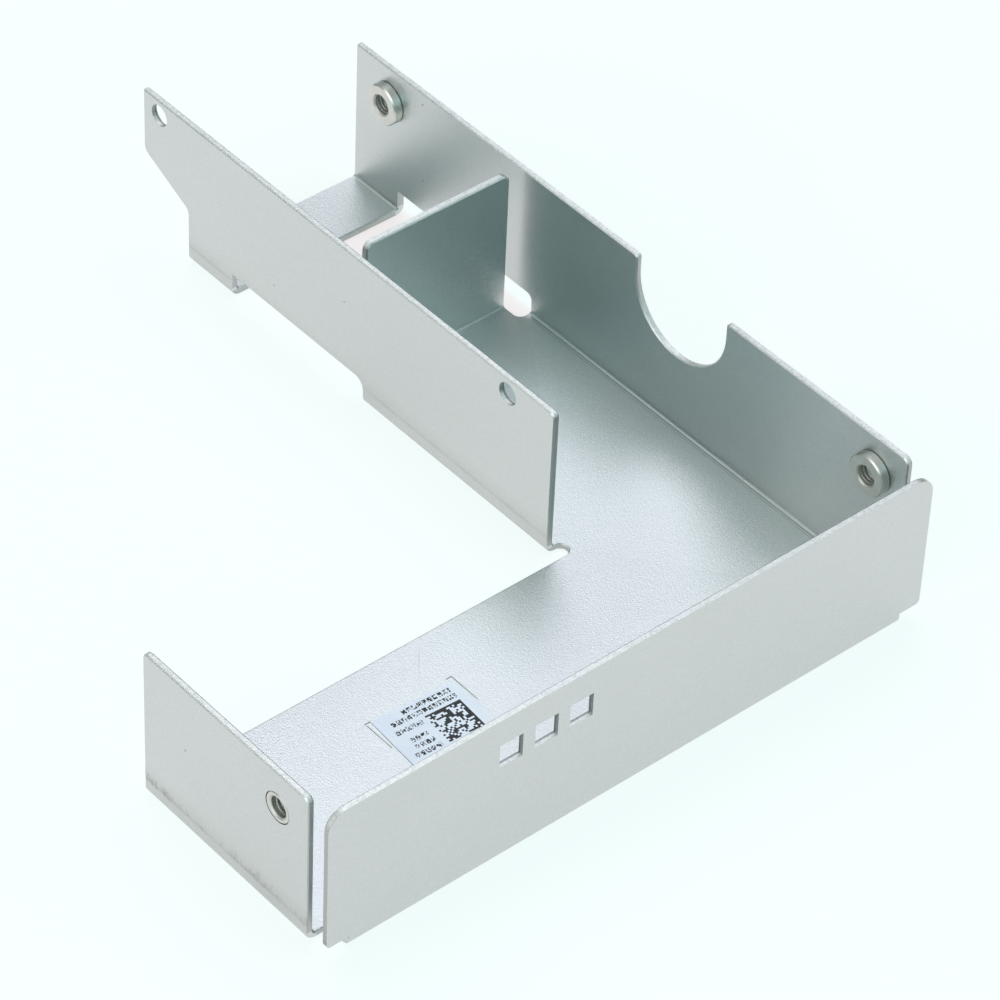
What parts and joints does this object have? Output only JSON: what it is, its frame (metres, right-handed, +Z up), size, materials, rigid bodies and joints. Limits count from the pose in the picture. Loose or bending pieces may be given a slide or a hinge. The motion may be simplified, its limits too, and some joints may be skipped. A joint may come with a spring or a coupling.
{
  "type": "drive bay adapter bracket",
  "caption": "Folded sheet-steel bracket that carries a small drive inside a larger drive's bay, with clinch nuts in its side walls, a drive wall with screw holes and a front panel with ports.",
  "frame": {"origin": "middle of the bracket's outer box across and along, on the underside of its floor", "axes": "+X from the short wall towards the long wall, +Y from the front panel towards the open rear end, +Z up from the floor"},
  "size_m": [0.1016, 0.1292, 0.025],
  "materials": {
    "zinc_sheet": "zinc-plated sheet steel, satin, with a fine grain and light handling marks",
    "nut_steel": "turned steel, plated, warmer and duller than the sheet",
    "label_film": "pale blue printed film"
  },
  "bodies": {
    "root": {"bracket": "zinc_sheet", "nut_short_wall": "nut_steel", "nut_long_wall_front": "nut_steel", "nut_long_wall_rear": "nut_steel", "label": "label_film"}
  },
  "joints": []
}
